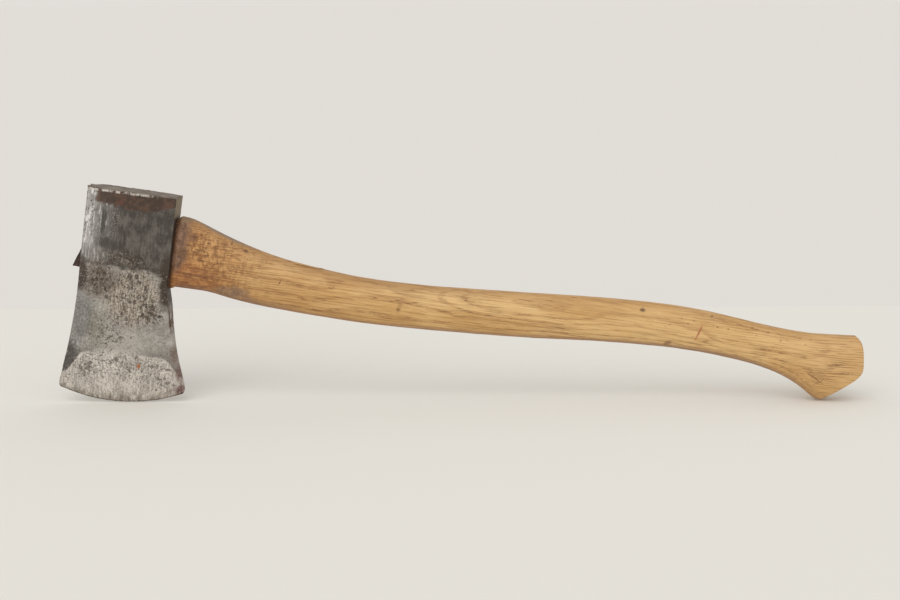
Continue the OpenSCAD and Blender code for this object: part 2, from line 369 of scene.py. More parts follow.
def square_off(count):
    """Turns the selected unit ring into the slightly square oval that a haft has."""
    quarter = count // 4
    mesh = bmesh.from_edit_mesh(bpy.context.object.data)
    ring = [point.index for point in mesh.verts if point.select]
    angles = {n: math.atan2(mesh.verts[n].co.z, mesh.verts[n].co.y) for n in ring}
    for step in range(1, quarter):
        turn = step * math.tau / count
        c, s = math.cos(turn), math.sin(turn)
        grow = (c ** OVAL_POWER + s ** OVAL_POWER) ** (-1 / OVAL_POWER)
        alike = [n for n in ring
                 if abs(abs(math.cos(angles[n])) - c) < 0.001]
        choose_numbers(alike)
        stretch(1, grow, grow)
    choose_numbers(ring)


def ring_at(name, x, count):
    """Starts a piece as a unit ring across X."""
    bpy.ops.object.select_all(action="DESELECT")
    bpy.ops.mesh.primitive_circle_add(vertices=count, radius=1, location=(x, 0, 0),
                                      rotation=(0, math.pi / 2, 0))
    piece = name_it(name)
    bpy.ops.mesh.select_all(action="SELECT")
    mesh = bmesh.from_edit_mesh(piece.data)
    mesh.verts.ensure_lookup_table()
    square_off(count)
    return piece


# %% Cut the eye
def eye_size(x):
    """Half depth and half width of the eye at x."""
    depth = touch(head_skin, (x, 0, 0), (0, 0, 1)).z
    width = touch(head_skin, (x, 0, 0), (0, 1, 0)).y
    return depth, width


PAST = 4.0
wide_end = eye_size(HEAD_LEFT + 0.1)
narrow_end = eye_size(HEAD_RIGHT - 0.1)
cutter = ring_at("eye_cutter", HEAD_LEFT - PAST, 96)
stretch(1, wide_end[1], wide_end[0], (HEAD_LEFT - PAST, 0, 0))
bpy.ops.mesh.edge_face_add()
extrude(x=HEAD_RIGHT - HEAD_LEFT + 2 * PAST)
stretch(1, narrow_end[1] / wide_end[1], narrow_end[0] / wide_end[0],
        (HEAD_RIGHT + PAST, 0, 0))
done()
outwards(cutter)
modify(head, "BOOLEAN", object=cutter, operation="DIFFERENCE", solver="EXACT")
bpy.data.objects.remove(cutter)
print("eye", [round(2 * v, 1) for v in wide_end], "to", [round(2 * v, 1) for v in narrow_end])

# %% [markdown]
# ## A hundred years of use
# The forging is never quite flat, the poll's rim is mushroomed by blows, the edge has small
# nicks, and rust has eaten pits into the cheeks. Clouds of displacement make the first
# three, and corners that blows have spread are pulled out with a soft falloff. The pits are
# single dimples, thick where the photograph shows them, and each point remembers how deep
# it lies so that the finish can darken the pits.

# %% Forged unevenness, burr and nicks
def group_where(piece, name, weight):
    """A vertex group whose weight depends on a point's place."""
    group = piece.vertex_groups.new(name=name)
    for point in piece.data.vertices:
        share = weight(point.co)
        if share > 0.02:
            group.add([point.index], min(share, 1), "REPLACE")
    return name


RIM_DEPTH = 3.5
HALF_POLL = 15.2
NICK_REACH = 4.0


def edge_distance(place):
    """How far a point lies above the cutting edge."""
    return EDGE_R - math.hypot(place.x - EDGE_X, place.z - EDGE_Z)


def near_rim(place):
    """1 at the rim of the poll's face, falling to 0 below it and further in."""
    low = (place.z - (POLL_RISE - RIM_DEPTH)) / RIM_DEPTH
    side = max(abs(place.x) / HEAD_RIGHT, abs(place.y) / HALF_POLL)
    return max(low, 0) * max((side - 0.8) / 0.2, 0)


relief(head, 30, 0.5)
relief(head, 6, 0.22)
relief(head, 2.0, 0.14)
relief(head, 4, 1.9, group_where(head, "burr", near_rim))
relief(head, 3, 0.45, group_where(head, "nicks",
                                 lambda p: 1 - edge_distance(p) / NICK_REACH), direction="Z")
print("groups:", [group.name for group in head.vertex_groups])

# %% Corners of the poll spread by blows
def push(piece, place, shift, reach):
    """Moves the surface about a place, fading out over the reach."""
    only(piece)
    near = min(piece.data.vertices, key=lambda point: (point.co - Vector(place)).length)
    number = near.index
    bpy.ops.object.mode_set(mode="EDIT")
    choose_numbers([number])
    move(*shift, use_proportional_edit=True, proportional_edit_falloff="SMOOTH",
         proportional_size=reach)
    done()


SPREADS = [
    ((-39, 15, 51.5), (-2.2, 0, -1.2), 10),
    ((-39, -15, 51.5), (-0.2, 0, 0.6), 10),
    ((39, 15, 51.5), (0.5, 0, -0.5), 10),
    ((39.5, 15, 40), (1.0, 0, 0), 26),
]
for place, shift, reach in SPREADS:
    push(head, place, shift, reach)
print("poll from", round(min(point.co.x for point in head.data.vertices if point.co.z > 45), 1))

# %% Pits
PIT_SEED = 11
PIT_DEPTH = 0.45
PIT_LEAST = 0.6
PIT_MOST = 1.6
PIT_FULL = 1.2
PIT_REACH = 1.5
PIT_SEARCH = 2.4
PIT_CLEAR = 3.0
PIT_FIELDS = [
    (9, -26, 5, 10, 24),
    (26, -54, 8, 11, 22),
    (12, -42, 22, 26, 40),
    (-20, -32, 12, 14, 18),
    (-28, -114, 9, 9, 18),
    (40, -112, 16, 14, 34),
    (5, -108, 26, 10, 16),
    (-5, -76, 20, 14, 14),
    (0, -8, 20, 5, 14),
]
dice = random.Random(PIT_SEED)
pit_depth = [0.0] * len(head.data.vertices)
finder = KDTree(len(head.data.vertices))
for point in head.data.vertices:
    finder.insert(point.co, point.index)
finder.balance()
pits = 0
for x, z, wide, high, count in PIT_FIELDS:
    for side in (-1, 1) * count:
        px, pz = dice.gauss(x, wide / 2), dice.gauss(z, high / 2)
        size = PIT_LEAST + (PIT_MOST - PIT_LEAST) * dice.random() ** 2
        squash = dice.uniform(0.6, 1.4)
        cheek = touch(head_skin, (px, side * FAR, pz), (0, -side, 0))
        if cheek is None or edge_distance(cheek) < PIT_CLEAR:
            continue
        pits += 1
        deepest = min(size, PIT_FULL) / PIT_FULL
        for place, number, _ in finder.find_range(cheek, size * PIT_SEARCH):
            away = math.hypot((place.x - px) * squash, (place.z - pz) / squash)
            share = max(0, 1 - away / (size * PIT_REACH))
            pit_depth[number] = max(pit_depth[number], share ** 0.7 * deepest)
eaten = head.vertex_groups.new(name="pits")
for number, depth in enumerate(pit_depth):
    if depth > 0:
        eaten.add([number], depth, "REPLACE")
modify(head, "DISPLACE", strength=-PIT_DEPTH, mid_level=0, vertex_group="pits")
layer = head.data.attributes.new("pitting", "FLOAT", "POINT")
layer.data.foreach_set("value", pit_depth)
print("pits:", pits)

# %% [markdown]
# ## The haft
# A curved haft is drawn out of one board: an oval tongue that fills the eye, a shoulder under
# the head, a slim belly and grip, and a knob that keeps it in the hand. It is modelled as a
# ring that is extruded from station to station, each stretched to what the calipers read.

# %% Stations of the haft
FIT_GAP = 0.05
BESIDE_SEAM = 0.2
RING_GROW = 3 / (2 + math.cos(math.tau / RING))


def haft_section(x):
    """Middle height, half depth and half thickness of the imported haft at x."""
    if x < HEAD_RIGHT:
        depth, width = eye_size(max(x, HEAD_LEFT + 0.1))
        return 0, depth - FIT_GAP, width - FIT_GAP
    top = touch(haft_skin, (x, BESIDE_SEAM, FAR), (0, 0, -1))
    bottom = touch(haft_skin, (x, BESIDE_SEAM, -FAR), (0, 0, 1))
    middle = (top.z + bottom.z) / 2
    side = touch(haft_skin, (x, -FAR, middle), (0, 1, 0))
    return middle, (top.z - bottom.z) / 2, -side.y


def end_x(z):
    """Where the knob's end or its slanted face lies at a height."""
    found = touch(haft_skin, (FAR, BESIDE_SEAM, z), (-1, 0, 0))
    return found.x if found else None


HAFT_END = max(end_x(z) for z in range(-20, 0))
toe_low = min((haft_section(HAFT_END - d)[0] - haft_section(HAFT_END - d)[1], -d)
              for d in range(20, 60))
TOE_X = HAFT_END + toe_low[1]
TOE_Z = toe_low[0]
print("haft ends at", round(HAFT_END, 1), "toe at", round(TOE_X, 1), round(TOE_Z, 1))

GRIP_STEPS = 22
tongue = [HEAD_LEFT + 0.02, HEAD_LEFT + 2, HEAD_LEFT + 20, HEAD_RIGHT - 12, HEAD_RIGHT - 0.5]
neck = [HEAD_RIGHT + d for d in (0.6, 2.6, 4.6, 6, 8.5, 12, 16, 21, 27, 34)]
body = [HEAD_RIGHT + d for d in (43, 55, 69, 85, 103, 123, 145)]
grip_run = TOE_X - 74 - body[-1]
body += [body[-1] + grip_run * n / GRIP_STEPS for n in range(1, GRIP_STEPS + 1)]
wrist = [TOE_X - d for d in (60, 48, 37, 27, 18, 10, 4)]
stations = tongue + neck + body + wrist
print("stations:", len(stations))

# %% Draw the haft out
middle, deep, thick = haft_section(stations[0])
haft = ring_at("hickory_haft", stations[0], RING)
stretch(1, thick * RING_GROW, deep * RING_GROW, (stations[0], 0, 0))
move(z=middle)
for before, x in zip(stations, stations[1:]):
    section = haft_section(x)
    extrude(x=x - before, z=section[0] - middle)
    stretch(1, section[2] / thick, section[1] / deep, (x, 0, section[0]))
    middle, deep, thick = section
print("last station", round(x, 1), "mm, depth", round(2 * deep, 1), "mm")

# %% [markdown]
# ### The knob
# The knob is cut off by a steep end and a long slanted face. Rings turn step by step from
# the last upright one to those faces, the last is laid on them point by point, and smaller
# rings inside it close the end, so that the subdivided edge stays firm but soft, as sanded
# wood is.

# %% Close the knob
KNOB_TOP = touch(haft_skin, (HAFT_END - 14, BESIDE_SEAM, FAR), (0, 0, -1)).z
knob_middle = (KNOB_TOP + TOE_Z) / 2
knob_deep = (KNOB_TOP - TOE_Z) / 2
knob_thick = haft_section(HAFT_END - 16)[2]


def picked():
    """The selected points of the piece being edited, by number and place."""
    mesh = bmesh.from_edit_mesh(bpy.context.object.data)
    return {point.index: point.co.copy() for point in mesh.verts if point.select}


def place_points(targets):
    """Moves points, by number, to new places."""
    now = picked()
    for number, target in targets.items():
        choose_numbers([number])
        move(*(target - now[number]))
    choose_numbers(targets)


def on_end(place, inner=0.0):
    """The point of the knob's end faces that lies beyond a place, or short of it by inner."""
    z = min(max(place.z, TOE_Z + 0.3), KNOB_TOP - 0.3)
    return Vector((end_x(z) - inner, place.y, z))


def rim_point(place, slack):
    """Where a point of the last straight ring comes to lie on the knob's rim."""
    z = knob_middle + (place.z - middle) / deep * (knob_deep - slack)
    return on_end(Vector((0, place.y / thick * (knob_thick - slack), z)))


KNOB_CREASE = 0.6
# Each ring's share of the way to the rim, how far it stops short, and how much smaller it is
RIM_STEPS = [(0.3, 0, 0), (0.62, 0, 0), (0.88, 0, 0), (1, 0.6, -0.2), (1, -0.7, 0.2)]
CAP_RINGS = [0.94, 0.87, 0.8, 0.7, 0.6]
start = picked()
mothers = {number: number for number in start}
spots = dict(start)
for share, inner, slack in RIM_STEPS:
    extrude(x=0.01)
    grown, targets = {}, {}
    for number, place in picked().items():
        before = min(spots, key=lambda n: (spots[n] - place).length)
        mother = grown[number] = mothers[before]
        goal = rim_point(start[mother], slack) - Vector((inner, 0, 0))
        targets[number] = start[mother].lerp(goal, share)
    place_points(targets)
    mothers, spots = grown, targets
bpy.ops.transform.edge_crease(value=KNOB_CREASE)
for shrink in CAP_RINGS:
    extrude()
    stretch(1, shrink, shrink, (HAFT_END, 0, knob_middle))
    place_points({number: on_end(place) for number, place in picked().items()})
bpy.ops.mesh.edge_face_add()
choose(lambda point: abs(point.co.x - stations[0]) < 0.01)
bpy.ops.mesh.edge_face_add()
for depth in (1.2, 2.2, 2.2):
    bpy.ops.mesh.inset(thickness=depth)
done()
outwards(haft)
smooth_out(haft, 3)
print("haft:", len(haft.data.polygons), "faces, end at",
      round(max(point.co.x for point in haft.data.vertices), 2))

# %% [markdown]
# ### Wear of the haft
# A splinter lifts from the top of the belly, a nub of wood stands under the shoulder, and
# the haft has a few dents. Dents and nub are pushed or pulled at one point with a soft
# falloff, and the splinter is a thin rod that is tapered, bent up and joined on.

# %% Dents and a nub of wood
# Along the haft, up, how deep and how wide, in millimetres
DENTS = [
    (138, -11, 0.7, 3), (104.5, 12.5, 0.5, 4), (113, -31, 0.6, 5), (463, 8, 0.4, 3),
    (518, -7, 0.4, 5), (300, 2, 0.4, 9), (612, -28, 0.5, 8), (90, -25, 0.5, 9),
]
for x, z, depth, reach in DENTS:
    front = touch(haft_skin, (x, -FAR, z), (0, 1, 0))
    if front:
        push(haft, front, (0, depth, 0), reach)
push(haft, (HEAD_RIGHT + 4.5, -6, -29.5), (0, -0.3, -1.3), 2.2)
print("dents:", len(DENTS))

# %% Splinter
SPLINTER_FROM = 148.0
SPLINTER_TO = 175.0
SPLINTER_Y = -4.0
SPLINTER_LIFT = 1.2
splinter_z = sum(haft_section(SPLINTER_FROM)[:2]) - 0.3
bpy.ops.object.select_all(action="DESELECT")
bpy.ops.mesh.primitive_cylinder_add(vertices=8, radius=0.5,
                                    depth=SPLINTER_TO - SPLINTER_FROM,
                                    location=((SPLINTER_FROM + SPLINTER_TO) / 2, SPLINTER_Y,
                                              splinter_z),
                                    rotation=(0, math.pi / 2, 0), scale=(0.8, 2.2, 1))
splinter = name_it("splinter")
choose(lambda point: point.co.x > SPLINTER_FROM + 1)
far_top = sum(haft_section(SPLINTER_TO)[:2])
stretch(1, 0.3, 0.7, (SPLINTER_TO, SPLINTER_Y, splinter_z))
move(z=far_top + SPLINTER_LIFT - splinter_z)
done()
only(haft)
splinter.select_set(True)
bpy.ops.object.join()
print("haft with its splinter:", len(haft.data.polygons), "faces")

# %% [markdown]
# ## The wedges
# A wooden wedge spreads the tongue along its kerf, and a small steel wedge was driven in
# askew later on. Its struck end has spread, rusted, and stands proud of the eye.

# %% Wooden wedge
WEDGE_L = 48.0
WEDGE_T = 5.0
WEDGE_TIP = 1.0
WEDGE_PROUD = 0.7
eye_deep = wide_end[0]
bpy.ops.object.select_all(action="DESELECT")
bpy.ops.mesh.primitive_cube_add(size=1, location=(HEAD_LEFT + WEDGE_L / 2, 0, 0),
                                scale=(WEDGE_L + WEDGE_PROUD * 2, WEDGE_T, eye_deep * 1.9))
eye_wedge = name_it("maple_wedge")
choose(lambda point: point.co.x > 0)
stretch(1, WEDGE_TIP / WEDGE_T, 0.97)
choose(lambda edge: abs(edge.verts[0].co.z - edge.verts[1].co.z) > 9, "edges")
bpy.ops.mesh.subdivide(number_cuts=15)
choose(lambda edge: abs(edge.verts[0].co.y - edge.verts[1].co.y) > 4, "edges")
bpy.ops.mesh.subdivide(number_cuts=2)
bpy.ops.mesh.select_all(action="SELECT")
bpy.ops.mesh.bevel(offset=0.25, segments=2, affect="EDGES")
done()
modify(eye_wedge, "SUBSURF", levels=2, render_levels=2, subdivision_type="SIMPLE")
relief(eye_wedge, 3, 0.5)
print("wooden wedge:", len(eye_wedge.data.polygons), "faces")

# %% Steel wedge
STEEL_W = 32.0
STEEL_TIP_W = 11.0
STEEL_L = 32.0
STEEL_T = 4.2
STEEL_TIP_T = 1.0
STEEL_PROUD = 8.8
STEEL_UP = 9.5
STEEL_TILT = 22.0
STEEL_TURN = 8.0
bpy.ops.object.select_all(action="DESELECT")
bpy.ops.mesh.primitive_cube_add(size=1, location=(STEEL_L / 2, 0, 0),
                                scale=(STEEL_L, STEEL_T, STEEL_W))
steel_wedge = name_it("driven_wedge")
choose(lambda point: point.co.x > STEEL_L / 2)
stretch(1, STEEL_TIP_T / STEEL_T, STEEL_TIP_W / STEEL_W, (STEEL_L, 0, 0))
choose(lambda face: face.normal.x < -0.9, "faces")
extrude(x=-0.4)
bpy.ops.mesh.select_all(action="SELECT")
bpy.ops.mesh.bevel(offset=0.45, segments=2, affect="EDGES")
done()
modify(steel_wedge, "SUBSURF", levels=4, render_levels=4, subdivision_type="SIMPLE")
relief(steel_wedge, 4, 0.7)
relief(steel_wedge, 1.2, 0.35)
low_corner = Vector((HEAD_LEFT - STEEL_PROUD, 0, STEEL_UP - eye_deep))
tilt = Matrix.Rotation(math.radians(STEEL_TILT), 4, "Y")
turn = Matrix.Rotation(math.radians(STEEL_TURN), 4, "X")
only(steel_wedge)
steel_wedge.matrix_world = (Matrix.Translation(low_corner) @ tilt
                            @ Matrix.Translation((0, 0, STEEL_W / 2)) @ turn)
bpy.ops.object.transform_apply(location=True, rotation=True, scale=True)
print("steel wedge from x", round(min(point.co.x for point in steel_wedge.data.vertices), 1))

# %% [markdown]
# ## Finishes
# Every finish is written as sums of fields: numbers that vary over the axe's own
# millimetres. Noise stretched along the haft is grain, patches with ragged rims are stains
# and worn spots, and one colour is laid over another where a field is high.

# %% Fields
ONE_SIDE = 14.0


def linear(value):
    """A display value from 0 to 255 as scene light."""
    share = value / 255
    return share / 12.92 if share <= 0.04045 else ((share + 0.055) / 1.055) ** 2.4


def colour(red, green, blue):
    """A colour as Blender takes it, from display values."""
    return (linear(red), linear(green), linear(blue), 1.0)


class Field:
    """A value that varies over a surface. Sums and products of fields add nodes."""

    def __init__(self, finish, socket):
        self.finish = finish
        self.socket = socket

    def math(self, operation, first, second):
        node = self.finish.add("ShaderNodeMath", {0: first, 1: second}, operation=operation)
        return Field(self.finish, node.outputs[0])

    def __add__(self, other):
        return self.math("ADD", self, other)

    __radd__ = __add__

    def __sub__(self, other):
        return self.math("SUBTRACT", self, other)

    def __rsub__(self, other):
        return self.math("SUBTRACT", other, self)

    def __mul__(self, other):
        return self.math("MULTIPLY", self, other)

    def over(self, other):
        return self.math("MAXIMUM", self, other)

    def under(self, other):
        return self.math("MINIMUM", self, other)

    def size(self):
        return self.math("ABSOLUTE", self, 0.0)

    def fraction(self):
        return self.math("FRACT", self, 0.0)

    def ramp(self, low, high):
        """Rises smoothly from 0 at low to 1 at high. With low above high it falls."""
        node = self.finish.add("ShaderNodeMapRange", {0: self, 1: low, 2: high},
                               interpolation_type="SMOOTHSTEP")
        return Field(self.finish, node.outputs[0])


class Finish:
    """A material whose patterns are measured in millimetres in the axe's own frame."""

    def __init__(self, name, **sockets):
        self.material = bpy.data.materials.new(name)
        self.material.use_nodes = True
        self.tree = self.material.node_tree
        self.shader = self.tree.nodes["Principled BSDF"]
        for socket, value in sockets.items():
            self.shader.inputs[socket.replace("_", " ")].default_value = value
        object_place = self.add("ShaderNodeTexCoord").outputs["Object"]
        self.place = self.add("ShaderNodeMapping",
                              {0: object_place, 1: eye_middle, 2: (0, lean, 0), 3: (MM,) * 3},
                              vector_type="TEXTURE").outputs[0]
        parts = self.add("ShaderNodeSeparateXYZ", {0: self.place})
        self.x, self.y, self.z = [Field(self, socket) for socket in parts.outputs]

    def add(self, kind, inputs=None, **settings):
        node = self.tree.nodes.new(kind)
        for name, value in settings.items():
            setattr(node, name, value)
        for key, value in (inputs or {}).items():
            if isinstance(value, Field):
                value = value.socket
            if isinstance(value, bpy.types.NodeSocket):
                self.tree.links.new(value, node.inputs[key])
            else:
                node.inputs[key].default_value = value
        return node

    def scaled(self, stretch, place=None):
        return self.add("ShaderNodeVectorMath", {0: place or self.place, 1: stretch},
                        operation="MULTIPLY").outputs[0]

    def noise(self, size, detail=2.0, rough=0.5, stretch=(1, 1, 1)):
        """Noise whose features are about that many millimetres."""
        scale = [s / size for s in stretch]
        node = self.add("ShaderNodeTexNoise",
                        {"Vector": self.scaled(scale), "Scale": 1.0, "Detail": detail,
                         "Roughness": rough})
        return Field(self, node.outputs[0])

    def cells(self, size, place=None, stretch=(1, 1, 1)):
        """Scattered spots: distance to the nearest, in cells, and a number for each."""
        scale = [s / size for s in stretch]
        node = self.add("ShaderNodeTexVoronoi",
                        {"Vector": self.scaled(scale, place), "Scale": 1.0})
        parts = self.add("ShaderNodeSeparateColor", {0: node.outputs["Color"]})
        return (Field(self, node.outputs["Distance"]), Field(self, parts.outputs[0]),
                Field(self, parts.outputs[1]))

    def ragged(self, size, reach):
        """The place, pushed about by noise, so that shapes drawn in it get ragged rims."""
        noise = self.add("ShaderNodeTexNoise",
                         {"Vector": self.scaled((1 / size,) * 3), "Scale": 1.0,
                          "Detail": 4.0, "Roughness": 0.62})
        centred = self.add("ShaderNodeVectorMath", {0: noise.outputs["Color"],
                           1: (0.5, 0.5, 0.5)}, operation="SUBTRACT").outputs[0]
        return self.add("ShaderNodeVectorMath", {0: centred, 1: (reach,) * 3, 2: self.place},
                        operation="MULTIPLY_ADD").outputs[0]

    def patch(self, place, x, z, wide, high, soft=0.5, y=None, angle=0.0):
        """1 inside an oval patch, falling to 0 past its rim. With a y it is on one side only."""
        deep = FAR * FAR if y is None else ONE_SIDE
        moved = self.add("ShaderNodeMapping",
                         {0: place, 1: (x, y or 0, z), 2: (0, -math.radians(angle), 0),
                          3: (wide, deep, high)}, vector_type="TEXTURE").outputs[0]
        reach = self.add("ShaderNodeVectorMath", {0: moved}, operation="LENGTH").outputs[1]
        return Field(self, reach).ramp(1 + soft, 1 - soft)

    def patches(self, place, *rows):
        """Several patches in one field: x, z, wide, high and strength of each."""
        field = None
        for x, z, wide, high, strength in rows:
            one = self.patch(place, x, z, wide, high, 0.6) * strength
            field = one if field is None else field.over(one)
        return field

    def attribute(self, name):
        return Field(self, self.add("ShaderNodeAttribute", attribute_name=name).outputs["Fac"])

    def coat(self, below, above, share):
        """One colour laid over another where the field is high."""
        node = self.add("ShaderNodeMix", {0: share, 6: below, 7: above}, data_type="RGBA")
        return node.outputs[2]

    def give(self, socket, field):
        self.tree.links.new(field.socket if isinstance(field, Field) else field,
                            self.shader.inputs[socket])

    def emboss(self, height):
        """Fine relief, in millimetres, that is too small for the mesh."""
        bump = self.add("ShaderNodeBump", {"Height": height, "Distance": MM})
        self.give("Normal", bump.outputs[0])


# %% [markdown]
# ### Old forged steel
# The cheeks are dark with patina round the eye, worn to grey below it and bright at the bit,
# where the edge has been filed and honed. Rust stays where no hand or wood rubs it off:
# under the poll's rim, along the heel and in the pits.

# %% Steel of the head
def head_steel():
    steel = Finish("forged_steel", Specular_IOR_Level=0.4)
    x, z = steel.x, steel.z
    torn = steel.ragged(9, 12)
    frayed = steel.ragged(3.5, 5)
    fine = steel.noise(1.1, 3, 0.7)
    crumbs = steel.noise(1.7, 3, 0.66)
    specks = steel.noise(2.3, 3, 0.62)
    blots = steel.noise(5, 4, 0.6)
    mottle = steel.noise(13, 5, 0.62)
    streaks = steel.noise(1.5, 3, 0.64, (1, 1, 0.17))
    brushed = steel.noise(0.7, 3, 0.66, (1, 1, 0.1))
    above_edge = EDGE_R - Field(steel, steel.add(
        "ShaderNodeVectorMath", {0: steel.scaled((1, 0, 1)), 1: (EDGE_X, 0, EDGE_Z)},
        operation="DISTANCE").outputs[1])

    # Lower middle: worn grey, with cool and olive clouds
    paint = steel.coat(colour(160, 155, 149), colour(190, 185, 179), mottle.ramp(0.38, 0.62))
    paint = steel.coat(paint, colour(130, 129, 128), steel.patch(torn, -36, -66, 12, 26) * 0.75)
    paint = steel.coat(paint, colour(140, 134, 116), steel.patch(torn, -20, -72, 9, 20, 0.8) * 0.5)
    paint = steel.coat(paint, colour(196, 190, 180), streaks.ramp(0.54, 0.7) * 0.4)
    paint = steel.coat(paint, colour(190, 183, 173), steel.patch(torn, 10, -88, 26, 12, 0.7) * 0.6)

    # Middle: a light worn patch with short upright streaks, browner to the left
    light = steel.patch(torn, 10, -42, 24, 27, 0.35)
    paint = steel.coat(paint, colour(170, 158, 144), light * 0.9)
    paint = steel.coat(paint, colour(212, 203, 191), light * streaks.ramp(0.48, 0.62) * 0.85)
    paint = steel.coat(paint, colour(100, 88, 76), light * streaks.ramp(0.45, 0.34) * 0.7)
    brown = steel.patch(torn, -21, -29, 14, 16, 0.5)
    paint = steel.coat(paint, colour(122, 109, 97), brown * 0.9)
    paint = steel.coat(paint, colour(160, 150, 137), brown * streaks.ramp(0.5, 0.64) * 0.8)

    # Round the eye: dark patina, silvered towards the front of the head, where the worn steel also
    # gets a painted highlight
    left_lift = (x * -0.16).ramp(1, 4) * 4
    upper = (z + mottle * 8 + blots * 8 + fine * 4 - 10 - left_lift).ramp(-18.5, -14.5)
    patina = steel.coat(colour(78, 72, 67), colour(112, 106, 100),
                        (mottle * 0.6 + streaks * 0.4).ramp(0.42, 0.62))
    grey = (x + mottle * 14 + blots * 6 - 10).ramp(-10, -26)
    patina = steel.coat(patina, colour(140, 136, 131), grey * 0.85)
    # Worn silver steel at the front edge, lightened further as a painted highlight where the head
    # rounds off; the near-white streaks are painted sheen
    silver_and_sheen = (x + mottle * 10 + streaks * 10 - 10).ramp(-26, -35) * z.ramp(-8, 4)
    patina = steel.coat(patina, colour(178, 174, 171), silver_and_sheen * 0.85)
    wear_and_sheen = silver_and_sheen.over(grey * 0.5)
    patina = steel.coat(patina, colour(234, 231, 228), wear_and_sheen * streaks.ramp(0.52, 0.62) * 0.9)
    worn_dark = (crumbs * 0.5 + streaks * 0.5).ramp(0.47, 0.38)
    patina = steel.coat(patina, colour(92, 88, 84), wear_and_sheen * worn_dark * 0.85)
    # Painted glints: small painted highlights in the patina beside the eye
    glints = steel.patch(torn, -12.5, 20, 3.4, 17, 0.6) * fine.ramp(0.52, 0.66)
    patina = steel.coat(patina, colour(180, 173, 174), glints * 0.85)
    patina = steel.coat(patina, colour(74, 72, 66), steel.patch(frayed, -22.5, 23, 2.2, 15) * 0.85)
    patina = steel.coat(patina, colour(80, 74, 69), steel.patch(torn, -19, 4, 9, 5.5) * 0.85)
    scuffed = steel.patch(torn, -4, -8, 24, 6, 0.6) * crumbs.ramp(0.46, 0.6)
    patina = steel.coat(patina, colour(146, 137, 128), scuffed * 0.85)
    paint = steel.coat(paint, patina, upper)
    # Painted shade along the crease where the bulge round the eye turns into the cheek
    crease_shade = (z + 15 + mottle * 6 - 3 + x * 0.04).size().ramp(4, 0.4)
    paint = steel.coat(paint, colour(84, 77, 69), crease_shade * blots.ramp(0.36, 0.56) * 0.75)

    # Dark strips where the cheek turns to the head's narrow sides
    left_strip = steel.patch(frayed, -38.5, -27, 6, 15, 0.3)
    right_strip = steel.patch(torn, 41, -24, 10, 25, 0.25)
    paint = steel.coat(paint, colour(90, 81, 74), left_strip)
    paint = steel.coat(paint, colour(78, 68, 60), right_strip)

    # Bit: filed bright below an arch, with a dark corner at the toe
    fall_left = (x * -1 - 14).over(0) * 0.2 + x.ramp(-31, -47) * 18
    fall_right = x.ramp(41, 60) * 16
    arch = z + 96 + fall_left + fall_right + mottle * 5 + blots * 3 + fine * 3 - 5.5
    outer = x.size().ramp(14, 34)
    bit = arch.ramp(1.2, -1.2) * outer + arch.ramp(5, -4) * (1 - outer)
    band = arch.ramp(10, 0) * (1 - bit)
    paint = steel.coat(paint, colour(134, 130, 125), band * x.size().ramp(8, 30) * 0.8)
    corner = steel.patch(torn, -45, -106, 9, 17, 0.4, angle=-8)
    paint = steel.coat(paint, colour(100, 96, 91), corner * (1 - bit))
    scratch = streaks.ramp(0.5, 0.66) * steel.patch(torn, -35, -90, 8, 4, 0.5, angle=-25)
    paint = steel.coat(paint, colour(196, 193, 188), scratch * 0.8)
    silver = steel.coat(colour(178, 170, 162), colour(225, 218, 209),
                        (streaks * 0.6 + mottle * 0.5).ramp(0.45, 0.64))
    silver = steel.coat(silver, colour(238, 234, 229), brushed.ramp(0.5, 0.66) * 0.5)
    smears = steel.noise(4.5, 3, 0.66, (1, 1, 0.45))
    silver = steel.coat(silver, colour(120, 105, 89),
                        (above_edge + smears * 36).ramp(27, 16) * crumbs.ramp(0.34, 0.54) * 0.9)
    paint = steel.coat(paint, silver, bit)

    # Grain of the bare forging: light and dark crumbs all over
    bare = 1 - upper * 0.6
    paint = steel.coat(paint, colour(214, 209, 202),
                       crumbs.ramp(0.54, 0.7) * (1 - upper * 0.85) * 0.5)
    paint = steel.coat(paint, colour(84, 77, 70), crumbs.ramp(0.46, 0.35) * (bare * 0.45 + bit * 0.2))

    # Pits and specks, thick where the steel has lain damp
    damp = steel.patches(
        torn, (10, -27, 10, 10, 0.8), (25, -54, 11, 13, 1), (12, -42, 24, 28, 0.6),
        (-20, -30, 14, 16, 0.75), (0, -8, 26, 6, 0.6), (-10, -76, 16, 18, 0.45),
        (-27, -114, 13, 11, 0.7), (38, -113, 15, 11, 0.4), (5, -108, 38, 12, 0.55),
        (-34, 26, 6, 14, 0.3))
    away, chance, grown = steel.cells(2.6, torn)
    dots = (away + fine * 0.6 - 0.3 - grown * 0.2).ramp(0.24, 0.08) * (chance + damp).ramp(0.98, 1.05)
    small = (specks + damp * 0.1).ramp(0.61, 0.7).over(dots) * (damp * 3).under(1)
    tiny = (fine + damp * 0.08).ramp(0.58, 0.68) * (damp * 3).under(1)
    large = (blots + damp * 0.05).ramp(0.63, 0.7) * (damp * 1.5 - 0.8).over(0) * 0.4
    pitting = steel.attribute("pitting")
    eaten = (pitting + fine * 0.5 - 0.25).ramp(0.15, 0.5)
    pit_tone = steel.coat(colour(60, 50, 43), colour(90, 74, 60), blots.ramp(0.45, 0.6))
    pit_tone = steel.coat(pit_tone, colour(104, 94, 84), bit * 0.6)
    paint = steel.coat(paint, pit_tone, tiny * 0.65)
    paint = steel.coat(paint, pit_tone, small.over(large) * 0.8)
    paint = steel.coat(paint, pit_tone, eaten * 0.7)

